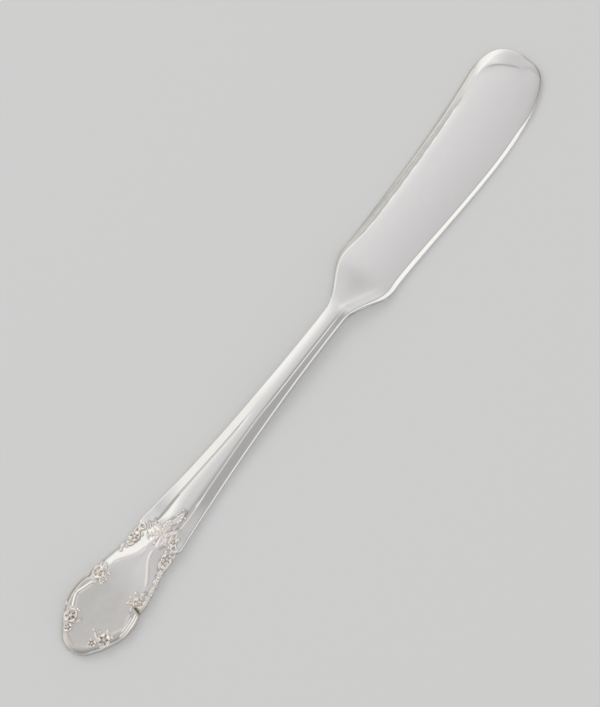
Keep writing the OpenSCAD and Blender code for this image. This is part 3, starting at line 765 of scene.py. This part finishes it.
# tables of the ornament: a row gives what its keys name, in mm
flowers = rowsOf(blossom, "cx cy r turn stain")
beads = rowsOf(bead, "cx cy r")
leaves = rowsOf(bar, "points width height vein leafy lobes")
ornament = {                     # places and sizes in mm, mirrored for the edge side
    "tip_flowers": {
        "both": flowers((5.55, 4.15, 1.5, 20, 0.9))
        + beads((7.4, 3.7, 0.42), (6.95, 5.1, 0.34), (4.05, 4.55, 0.3)),
        "spine": flowers((3.35, 3.2, 0.98, 50)) + leaves(
            ([(6.75, 5.95), (7.2, 6.4), (7.6, 6.7)], 0.62, 0.4, 0.0, 1),
            ([(6.3, 2.1), (5.4, 2.4), (4.6, 2.9)], 0.55, 0.45, 0.2, 0.6)),
        "edge": flowers((3.6, 2.6, 0.95, 30)) + beads((6.05, 1.3, 0.34)) + leaves(
            ([(5.95, 1.5), (5.3, 2.35), (4.85, 3.1), (4.15, 3.75)], 0.62, 0.55, 0.15, 0.5),
            ([(6.5, 2.2), (6.3, 2.8), (6.0, 3.3)], 0.7, 0.4, 0.3, 1)),
    },
    "waist_flowers": {
        "both": flowers((15.9, 5.15, 1.42, 65, 0.5), (15.35, 3.6, 0.85, 10, 0.4))
        + beads((16.95, 3.4, 0.42), (14.4, 3.3, 0.34)) + leaves(
            ([(14.45, 4.35), (13.9, 4.5), (13.2, 4.85)], 0.6, 0.42, 0.2, 1),
            ([(16.9, 5.5), (17.6, 5.75), (18.4, 5.85)], 0.8, 0.45, 0.2, 1),
            ([(16.9, 4.5), (17.6, 4.6), (18.2, 4.9)], 0.7, 0.4, 0.2, 1)),
    },
    "shoulder_spray": {
        "both": flowers((26.2, 4.05, 1.22, 0, 0.8)) + beads((24.45, 4.4, 0.46), (27.3, 3.05, 0.36))
        + [(scroll, dict(cx=28.6, cy=3.8, outer=0.82, inner=0.28, start=200, turns=-1.3, wire=0.3))]
        + leaves(
            ([(25.3, 3.3), (24.5, 3.6), (23.6, 4.1)], 0.8, 0.45, 0.2, 1),
            ([(24.0, 4.8), (23.2, 4.75), (22.3, 4.6)], 0.8, 0.45, 0.15, 0.8),
            ([(26.9, 4.75), (27.5, 4.75), (28.1, 4.6)], 0.6, 0.4, 0.2, 0.6)),
        "edge": beads(*[         # a row of beads along the border, not quite even
            (23.5 - 0.62 * k, 4.45 + 0.21 * k - 0.008 * k * k + 0.16 * math.cos(2.4 * k),
             0.38 + 0.07 * math.sin(5 * k)) for k in range(9)]),
        "spine": beads((22.3, 4.5, 0.38), (23.2, 4.9, 0.34), (23.6, 4.05, 0.3)),
    },
    "collar_leaves": {           # y here counts towards the spine, so the spray need not be even
        "both": [],
        "spine": [(fluted, dict(cx=29.3, cy=-0.3, reachX=2.7, reachY=2.9, tall=0.22, flutes=7))]
        + leaves(*[([(27.5 + 0.43 * k, 1.5 - 0.46 * k), (28.0 + 0.43 * k, 1.95 - 0.46 * k),
                     (28.6 + 0.43 * k, 2.4 - 0.46 * k)], 0.55, 0.55, 0.0, 0.5) for k in range(5)])
        + beads(*[(27.3 + 0.48 * k, -0.7 - 0.32 * k + 0.55 * math.cos(2.2 * k),
                   0.34 + 0.06 * math.sin(4 * k)) for k in range(8)])
        + beads(*[(30.4 + 0.3 * math.cos(2.5 * k), 1.4 - 0.62 * k, 0.36 + 0.07 * math.cos(3 * k))
                  for k in range(6)])
        + leaves(
            ([(30.2, 1.8), (30.8, 2.2), (31.4, 2.7)], 0.7, 0.5, 0.0, 0.7),
            ([(29.0, 2.3), (29.6, 2.7), (30.2, 3.3)], 0.6, 0.45, 0.0, 0.7),
            ([(30.6, 0.2), (32.0, 0.1), (33.4, -0.3)], 1.5, 0.35, 0.3, 1, 4),
            ([(32.6, -0.6), (34.2, -0.9), (36.0, -1.1)], 1.2, 0.3, 0.3, 1, 4),
            ([(30.4, -1.6), (31.4, -2.0), (32.4, -2.2)], 0.8, 0.4, 0.2, 0.9))
        + beads((36.1, -0.6, 0.24), (35.0, -1.9, 0.24))
        + flowers((29.6, -3.0, 0.9, 40)) + beads((28.3, -3.0, 0.36)),
    },
}
sides = {"spine": 1, "edge": -1}
elements = [(side, *element) for lists in ornament.values() for word, side in sides.items()
            for element in lists["both"] + lists.get(word, [])]
rimEnds = 0.1                    # share of a rim's length over which each end tapers
rims = {                         # raised lines of the border, in mm, for the spine side and the edge side
    "lower_rim": {
        "spine": [dict(points=points, width=0.8, height=0.12, count=50) for points in (
            [(7.1, 4.75), (8.0, 5.25), (9.0, 5.7), (10.1, 6.1)],
            [(10.0, 6.1), (10.9, 5.75), (12.0, 5.4), (13.9, 4.8)])],
        "edge": [dict(points=[(7.9, 6.3), (8.9, 6.55), (10.4, 6.6), (12.2, 6.4), (13.9, 6.0)],
                      width=0.8, height=0.14, count=60),
                 dict(points=[(8.9, 5.9), (10.6, 5.95), (12.6, 5.7)], width=0.4, height=0.08, count=50)],
    },
    "upper_rim": {
        "spine": [dict(points=cartouche[14:22], width=0.6, height=0.16, count=70)],
        "edge": [dict(points=cartouche[14:22], width=0.8, height=0.03, count=70)],
    },
    "tip_rim": {
        "": [dict(points=np.vstack([cartouche[3:0:-1] * (1, -1), cartouche[:4]]), width=0.9, height=0.03,
                  count=60, ends=0.15, veil=0.3)],
    },
}


# Scene: camera at the photo's angle

camera = {"azimuth": -52.7, "elevation": 76.0, "lens": 600.0, "pixelsPerMm": 5.02,
          "target": (-0.29, -0.25, 1.5)}
imageHeight = 707                                          # the frame is 600 x 707 pixels


def aimed(name, data, azimuth, elevation, distance, target=(0, 0, 0)):
    # camera or light that faces a target in m: azimuth 0 is the edge side, 180 the spine side
    a, e = math.radians(azimuth), math.radians(elevation)
    away = Vector((math.sin(a) * math.cos(e), -math.cos(a) * math.cos(e), math.sin(e)))
    item = bpy.data.objects.new(name, data)
    item.location = Vector(target) + away * distance
    item.rotation_mode = "QUATERNION"
    item.rotation_quaternion = (-away).to_track_quat("-Z", "Y")
    bpy.context.scene.collection.objects.link(item)
    return item


def addCamera():
    # its distance follows from the scale: the height that the frame takes in, times lens over sensor
    data = bpy.data.cameras.new("camera")
    data.lens = camera["lens"]
    data.sensor_width = 36
    data.clip_end = 50
    distance = imageHeight / camera["pixelsPerMm"] * data.lens / data.sensor_width / 1000
    target = Vector(camera["target"]) / 1000
    item = aimed("camera", data, camera["azimuth"], camera["elevation"], distance, target)
    bpy.context.scene.camera = item


addCamera()
print("camera: ", camera)


# Floor and light

studio = {"floorHalf": 4.0, "floorColour": "#C6C6C6", "floorGlow": 0.138,
          "dimX": (0.28, 0.42), "dimLean": 1.2, "dimBy": (0.03, 0.35), "dimTo": 0.86}
dimBand = [(0.0, "#000000"), (0.25, "#FFFFFF"), (0.45, "#FFFFFF"), (0.75, "#7F7F7F")]    # share, over dimBy
tent = [                         # way from the edge side (0) over the zenith to the spine side (1), colour
    (0.00, "#FCFCF9"), (0.04, "#FFFFFC"), (0.115, "#E4E4E3"), (0.25, "#AAAAAA"), (0.42, "#AEADAE"),
    (0.47, "#BDBCBD"), (0.574, "#D5D4D6"), (0.65, "#E8E7E8"), (0.735, "#FFFFFD"), (0.87, "#F8F8F6"),
    (0.955, "#D0D0CE"), (0.99, "#BEBEBC"),
]
lights = {                       # azimuth, elevation, distance in m, size in m, radiance, colour
    "soft_box": (175, 40, 0.8, (0.38, 0.38), 2.15, "#FFFEFC"),
    "fill_box": (-10, 64, 0.8, (0.38, 0.38), 1.5, "#FFFEFC"),
}


def addFloor():
    # one large sheet of matt paper: pale, even, hardly any gloss
    mesh = bpy.data.meshes.new("floor")
    h = studio["floorHalf"]
    mesh.from_pydata([(-h, -h, 0), (h, -h, 0), (h, h, 0), (-h, h, 0)], [], [(0, 1, 2, 3)])
    floor = bpy.data.objects.new("floor", mesh)
    bpy.context.scene.collection.objects.link(floor)
    paper = bpy.data.materials.new("matt_paper")
    paper.use_nodes = True
    tree = paper.node_tree
    shader = tree.nodes["Principled BSDF"]
    shader.inputs["Base Color"].default_value = linear(studio["floorColour"])
    shader.inputs["Roughness"].default_value = 0.9
    shader.inputs["Emission Color"].default_value = linear("#FFFFFF")
    # lit from below, so shadows stay pale
    shader.inputs["Emission Strength"].default_value = studio["floorGlow"]
    shader.inputs["Specular IOR Level"].default_value = 0.1
    mesh.materials.append(paper)


def addTent():
    # light tent: its brightness runs from the edge side to the spine side, a little dimmer beyond the tip
    world = bpy.data.worlds.new("light_tent")
    bpy.context.scene.world = world
    world.use_nodes = True
    tree = world.node_tree
    sky = tree.nodes["Background"]
    way = addNode(tree, "ShaderNodeTexCoord").outputs["Generated"]
    parts = addNode(tree, "ShaderNodeSeparateXYZ", links={0: way}).outputs
    place = addNode(tree, "ShaderNodeMapRange", {1: -1.0, 2: 1.0}, {0: parts["Y"]}).outputs[0]
    wall = addNode(tree, "ShaderNodeValToRGB", {"stops": tent}, {"Fac": place})
    tree.links.new(wall.outputs["Color"], sky.inputs["Color"])
    eased = {"interpolation_type": "SMOOTHSTEP"}
    tipFrom, tipTo = studio["dimX"]
    lowFrom, lowTo = studio["dimBy"]
    slant = (1.0, -studio["dimLean"], 0.0)
    toTip = addNode(tree, "ShaderNodeMapRange", {**eased, 1: tipFrom, 2: tipTo}, {0: parts["X"]})
    slope = addNode(tree, "ShaderNodeVectorMath", {"operation": "DOT_PRODUCT", 1: slant}, {0: way})
    low = addNode(tree, "ShaderNodeMapRange", {1: lowFrom, 2: lowTo}, {0: slope.outputs["Value"]})
    band = addNode(tree, "ShaderNodeValToRGB", {"stops": dimBand}, {"Fac": low.outputs[0]})
    ends = {0: toTip.outputs[0], 1: band.outputs["Color"]}
    both = addNode(tree, "ShaderNodeMath", {"operation": "MULTIPLY"}, ends)
    dim = addNode(tree, "ShaderNodeMapRange", {3: 1.0, 4: studio["dimTo"]}, {0: both.outputs[0]})
    tree.links.new(dim.outputs[0], sky.inputs["Strength"])


def addLight(name, azimuth, elevation, distance, size, radiance, colour):
    # soft box that faces the knife; its power is pi x area x radiance
    data = bpy.data.lights.new(name, "AREA")
    data.shape = "RECTANGLE"
    data.size, data.size_y = size
    data.energy = math.pi * size[0] * size[1] * radiance
    data.color = linear(colour)[:3]
    item = aimed(name, data, azimuth, elevation, distance)
    item.visible_camera = False
    item.visible_glossy = False          # it lights the floor, the silver mirrors the tent


addFloor()
addTent()
for name, values in lights.items():
    addLight(name, *values)
bpy.context.scene.view_settings.view_transform = "Standard"
print("lights: ", list(lights))


# Silver: the tarnishAndShade attribute turns bright metal to brown in the recesses, and darker where shade
# is painted

worked = {                       # roughness and its swing, scratches, depth of waves in m, patches
    "roughness": 0.16, "smudge": 0.08, "scratch": 0.02, "wave": 0.00002, "patchy": (0.9, 1.06),
}
finish = {
    # wrought and buffed: broad clear reflections, grey-brown film where cloths do not reach; the same brown
    # carries the painted shade on handle and blade
    "polished_silver": {**worked, "bright": "#F8F7F5", "dark": "#7E7358"},
    # cast and only tumbled: small sparkling highlights, brown in every pit
    "cast_silver": {**worked, "bright": "#FFFAF5", "dark": "#786240", "roughness": 0.13, "scratch": 0.05,
                    "wave": 0.00001, "patchy": (0.7, 1.15)},
    # hard solder, filed flush: a hair line in the same white metal
    "silver_solder": {**worked, "bright": "#F8F7F5", "dark": "#80705A"},
}
grain = {                        # pattern scales per metre, 1000 / size in mm
    "patch": 900.0,              # tarnish in patches of 1.1 mm
    "cloud": 140.0,              # wiping marks of 7 mm
    "wave": 260.0,               # waves of 4 mm that polishing by hand leaves
    "hair": (150.0, 4000.0, 4000.0),     # scratches 7 mm long and 0.25 mm apart, coarser than real, to show
    "hairDepth": 0.00002, "middle": {1: 0.3, 2: 0.7},    # most of a noise lies between these two values
}


def silverMaterial(name):
    # worn silver: bright and slightly warm, with cloudy wiping marks and hair scratches along the knife
    values = finish[name]
    material = bpy.data.materials.new(name)
    material.use_nodes = True
    tree = material.node_tree
    shader = tree.nodes["Principled BSDF"]
    shader.inputs["Metallic"].default_value = 1
    place = addNode(tree, "ShaderNodeTexCoord").outputs["Object"]
    stain = addNode(tree, "ShaderNodeAttribute", {"attribute_name": "tarnishAndShade"}).outputs["Fac"]
    patch = addNode(tree, "ShaderNodeTexNoise", {"Scale": grain["patch"], "Detail": 3.0}, {"Vector": place})
    least, most = values["patchy"]
    spread = {**grain["middle"], 3: least, 4: most}
    patchy = addNode(tree, "ShaderNodeMapRange", spread, {0: patch.outputs["Fac"]})
    times = {"operation": "MULTIPLY", "use_clamp": True}
    amount = addNode(tree, "ShaderNodeMath", times, {0: stain, 1: patchy.outputs[0]}).outputs[0]
    colours = {"data_type": "RGBA", 6: linear(values["bright"]), 7: linear(values["dark"])}
    colour = addNode(tree, "ShaderNodeMix", colours, {0: amount})
    tree.links.new(colour.outputs[2], shader.inputs["Base Color"])
    cloud = addNode(tree, "ShaderNodeTexNoise", {"Scale": grain["cloud"], "Detail": 4.0}, {"Vector": place})
    swing = values["smudge"] / 2
    gloss = {**grain["middle"], 3: values["roughness"] - swing, 4: values["roughness"] + swing}
    rough = addNode(tree, "ShaderNodeMapRange", gloss, {0: cloud.outputs["Fac"]})
    tree.links.new(rough.outputs[0], shader.inputs["Roughness"])
    along = addNode(tree, "ShaderNodeMapping", {"Scale": grain["hair"]}, {"Vector": place}).outputs[0]
    fine = {"Scale": 1.0, "Detail": 2.0}
    hair = addNode(tree, "ShaderNodeTexNoise", fine, {"Vector": along}).outputs["Fac"]
    scratches = {"Strength": values["scratch"], "Distance": grain["hairDepth"]}
    scratched = addNode(tree, "ShaderNodeBump", scratches, {"Height": hair}).outputs[0]
    wave = addNode(tree, "ShaderNodeTexNoise", {"Scale": grain["wave"], "Detail": 1.0}, {"Vector": place})
    bump = addNode(tree, "ShaderNodeBump", {"Strength": 1.0, "Distance": values["wave"]},
                   {"Height": wave.outputs["Fac"], "Normal": scratched})
    tree.links.new(bump.outputs[0], shader.inputs["Normal"])
    return material


silver, castSilver, solder = [silverMaterial(name) for name in finish]
print("silver: ", list(finish))
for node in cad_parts.values():
    node.data.materials.clear()
    node.data.materials.append(solder)


# Handle and blade

dirtAndShade = {                         # shares of full darkening, tarnish and painted shade; places in mm; threes: strength, place, width
    "base": 0.03, "trace": 0.06, "traceSide": 0.6, "traceLength": (36.0, 4.0, 68.0, 8.0), "endX": 38.0,
    "veil": (0.25, 0.05), "veilFade": (13.0, 9.0), "veilRun": 0.8,
    # border and rim are painted shade where the plate falls and rounds away, the border with some tarnish as
    # well
    "border": 0.36, "borderIn": (0.2, 0.4), "borderEnd": (15.0, 2.0),
    "rim": (0.55, 0.3, 0.4), "lobe": 0.5, "lobeFrom": (4.0, 3.0), "lobeTo": (15.0, 3.0),
    "rimEnd": (29.0, 2.0),
    "notch": 0.22, "spot": (0.7, 0.0, 0.3), "spotX": 10.4, "spotY": 6.95,
    "groove": (0.5, 0.0, 0.2), "grooveLength": (29.0, 2.0, 44.0, 8.0), "foot": (0.4, 0.0, 0.2),
    "barFoot": 0.4, "roundFoot": 0.9, "plainR": 0.8,     # shares of an ornament's width or radius
}


def grimeAndShade(rings):
    # tarnish on the handle: a thin veil that fades towards the shaft, a trace on the shaft's spine side,
    # in cuts and grooves, and against the foot of every ornament; painted shade on the border and, more,
    # along the rim
    x, y = rings[..., 0], rings[..., 1]
    dark = dirtAndShade["base"] + dirtAndShade["trace"] * ramp(y, 0, dirtAndShade["traceSide"]) * stretch(x, *dirtAndShade["traceLength"])
    near = x < dirtAndShade["endX"]
    x, y = x[near], y[near]
    inside = fieldDepth(x, y)
    veil = mix(*dirtAndShade["veil"], ramp(x, *dirtAndShade["veilFade"])) * ramp(inside, 0, dirtAndShade["veilRun"])
    # tarnish and painted shade on the border outside the field, where it falls away to the outline
    border = dirtAndShade["border"] * fade(inside, *dirtAndShade["borderIn"]) * fade(x, *dirtAndShade["borderEnd"])
    lobe = mix(dirtAndShade["lobe"], 1, ramp(x, *dirtAndShade["lobeFrom"])) * mix(1, dirtAndShade["lobe"], ramp(x, *dirtAndShade["lobeTo"]))
    # painted shade along the rounded rim, which holds back its highlight, most along the lobes
    rim = streak(edgeDistance(x, y), *dirtAndShade["rim"]) * lobe * fade(x, *dirtAndShade["rimEnd"])
    cut = bell(notchDistance(x, y), dirtAndShade["notch"])
    spot = streak(np.hypot(x - dirtAndShade["spotX"], y - dirtAndShade["spotY"]), *dirtAndShade["spot"])
    groove = np.abs(y) - panelHalf(x, handleHalf(x)) - form["grooveHalf"]
    groove = streak(groove, *dirtAndShade["groove"]) * stretch(x, *dirtAndShade["grooveLength"])
    most = np.maximum.reduce([veil, border, rim, cut, spot, groove])
    for side, make, sizes in elements:
        if make is bar:
            gap = distanceTo(np.array(sizes["points"]), x, y * side) - dirtAndShade["barFoot"] * sizes["width"]
        else:
            foot = dirtAndShade["roundFoot"] * sizes.get("r", dirtAndShade["plainR"])
            gap = np.hypot(x - sizes["cx"], y * side - sizes["cy"]) - foot
        most = np.maximum(most, streak(np.maximum(gap, 0), *dirtAndShade["foot"]))
    dark[near] = np.maximum(dark[near], most)
    return dark


handleRows = {
    "tip": 34, "tipStart": 0.02, "plateStep": 0.105, "plateEnd": 34.0, "shaftStep": 0.4, "scarf": 41,
    "tipZ": 0.6,
}


def addHandle():
    # rings from the round tip to the neck, then on to the slope of the scarf
    angles = np.linspace(handleRows["tipStart"], math.pi / 3, handleRows["tip"])
    plate = np.arange(sideX[0], handleRows["plateEnd"], handleRows["plateStep"])
    shaft = np.arange(handleRows["plateEnd"], neckX, handleRows["shaftStep"])
    rows = np.concatenate([knife["tipR"] * (1 - np.cos(angles)), plate, shaft])
    x = np.repeat(rows[:, None], ringCount, 1)
    end = scarfRing(-knife["solderT"] / 2)
    way = np.linspace(0, 1, handleRows["scarf"])[:, None]
    rings = ringPoints(np.concatenate([x, mix(neckX + 0 * end, end, way)]))
    shell = closedShell(rings, grimeAndShade(rings), startPoint=np.array([0, 0, handleRows["tipZ"]]))
    sharp = (len(rings) - 1) * ringCount + np.arange(ringCount)
    addPiece("silver_handle", [shell], "handle", silver, sharp)


bladeRows = {
    "scarf": 60, "scarfEnd": shoulderX + 3, "step": 0.5, "corner": 120, "cornerEnd": 1.565, "tipZ": 0.3,
}
wearAndShade = {                         # shares of full darkening, wear marks and painted shade; threes are strength, place and width
    # marks along the bevel of the spine, placed across it, laid over its highlight so that they also dull it
    # as painted shade
    "line": (0.2, 0.75, 0.1), "brokenLine": (0.22, 0.92, 0.1), "dashes": (0.12, 0.48, 0.1),
    "lineBreaks": (1.3, 0.41, 2.0, 0.6, 0.8), "dashBreaks": (2.1, 0.73, 1.0, 0.2, 0.4),
    "lines": (99.0, 4.0, 140.0, 5.0), "endLine": (0.26, 0.98, 0.13), "endLength": (134.0, 3.0, 145.0, 3.0),
    # painted shade: dark outline, shoulder and its hollow, rim and ridge at the tip, placed in mm
    "outline": (0.55, 0.1, 0.24), "inner": (0.22, 0.5, 0.3), "outlineLength": (97.0, 4.0, 147.0, 4.0),
    "outlineRoot": 0.45, "outlineGrows": (100.0, 14.0),
    "shoulder": (0.22, 0.2, 0.5), "shoulderLength": (85.0, 3.0, 102.0, 4.0), "hollow": 0.14,
    "rim": (0.4, 0.0, 0.3), "rimFrom": (143.0, 5.0), "rimSide": (4.0, 3.0),
    "facet": 0.14, "facetRun": 0.5, "facetSide": (6.5, 3.0),
    "crease": (0.5, 0.0, 0.2), "creaseSide": (0.5, 2.0, 7.2, 1.5), "tipX": 140.0,
}


def breaks(x, fast, slow, shift, lift, soft):
    # uneven gaps along the knife: product of two sine waves, lifted and cut off softly
    return smooth((np.sin(fast * x) * np.sin(slow * x + shift) + lift) / soft)


def bladeWearAndShade(x, y):
    # fine marks along the spine's bevel that also dull its highlight as painted shade; painted shade as a
    # dark outline, a veil in the shoulder, a trace on the rim and the ridge
    inset = spineY(x) - y
    across = inset / stripWidth(x)
    # marks along the bevel, laid over its highlight: partly wear, partly painted shade
    dashes = breaks(x, *wearAndShade["dashBreaks"]) * streak(across, *wearAndShade["dashes"])
    broken = breaks(x, *wearAndShade["lineBreaks"]) * streak(across, *wearAndShade["brokenLine"])
    wornAndShaded = (streak(across, *wearAndShade["line"]) + broken + dashes) * stretch(x, *wearAndShade["lines"])
    wornAndShaded = wornAndShaded + streak(across, *wearAndShade["endLine"]) * stretch(x, *wearAndShade["endLength"])
    # painted shade along the outline, stronger towards the tip
    outline = streak(inset, *wearAndShade["outline"]) + streak(inset, *wearAndShade["inner"])
    outline = outline * mix(wearAndShade["outlineRoot"], 1, ramp(x, *wearAndShade["outlineGrows"]))
    wornAndShaded = wornAndShaded + outline * stretch(x, *wearAndShade["outlineLength"])
    # painted shade on the shoulder's spine flank and in its hollow
    wornAndShaded = np.maximum(wornAndShaded, streak(inset, *wearAndShade["shoulder"]) * stretch(x, *wearAndShade["shoulderLength"]))
    wornAndShaded = wornAndShaded + wearAndShade["hollow"] * hollow(x, np.abs(y - middle(x)))
    # painted shade along the rim at the tip, on the facet beyond the ridge and in its crease
    rim = streak(edgeDistance(x, y), *wearAndShade["rim"]) * ramp(x, *wearAndShade["rimFrom"])
    rim = rim * fade(y, *wearAndShade["rimSide"])
    beyond = beyondCrease(x, y)
    facet = wearAndShade["facet"] * ramp(beyond, 0, wearAndShade["facetRun"]) * fade(y, *wearAndShade["facetSide"])
    ridge = streak(beyond, *wearAndShade["crease"]) * stretch(y, *wearAndShade["creaseSide"])
    return np.maximum(wornAndShaded, (rim + facet + ridge) * (x > wearAndShade["tipX"]))


def addBlade():
    # rings from the slope of the scarf to the blade, closer towards its round end
    start = scarfRing(knife["solderT"] / 2)
    way = np.linspace(0, 1, bladeRows["scarf"])[:-1, None]
    angles = np.linspace(0, bladeRows["cornerEnd"], bladeRows["corner"])
    body = np.arange(bladeRows["scarfEnd"], edgeCornerX, bladeRows["step"])
    body = np.concatenate([body, edgeCornerX + knife["edgeCornerLen"] * np.sin(angles)])
    x = np.repeat(body[:, None], ringCount, 1)
    rings = ringPoints(np.concatenate([mix(start, bladeRows["scarfEnd"] + 0 * start, way), x]))
    wornAndShaded = bladeWearAndShade(rings[..., 0], rings[..., 1])
    shell = closedShell(rings, wornAndShaded, endPoint=np.array([endX, knife["tipReach"], bladeRows["tipZ"]]))
    addPiece("silver_blade", [shell], "blade", silver, np.arange(ringCount))


def addSolder():
    # thin film between the two faces of the scarf
    half = knife["solderT"] / 2
    rings = ringPoints(np.concatenate([scarfRing(-half), scarfRing(half)]))
    shell = closedShell(rings, np.full(rings.shape[:2], dirtAndShade["base"]))
    addPiece("solder_film", [shell], "neck_solder", solder, np.arange(2 * ringCount))


addHandle()
addBlade()
addSolder()


# Cast ornament, one piece for each CAD node

def addOrnament():
    # castings of both sides from the tables, the collar's as one piece, then the raised lines
    for group, lists in ornament.items():
        shells = {word: [make(side, **sizes) for make, sizes in lists["both"] + lists.get(word, [])]
                  for word, side in sides.items()}
        if group == "collar_leaves":
            whole = shells["spine"] + shells["edge"]
            addPiece("cast_collar_leaves", whole, group, castSilver)
            continue
        for word in shells:
            addPiece(f"cast_{group}_{word}", shells[word], f"{group}_{word}", castSilver)
    for group, lists in rims.items():
        for word, bars in lists.items():
            shells = [bar(sides.get(word, 1), stain=0.0, **{"ends": rimEnds, **sizes}) for sizes in bars]
            name = "_".join([group, word] if word else [group])
            addPiece(f"cast_{name}", shells, name, castSilver)


addOrnament()
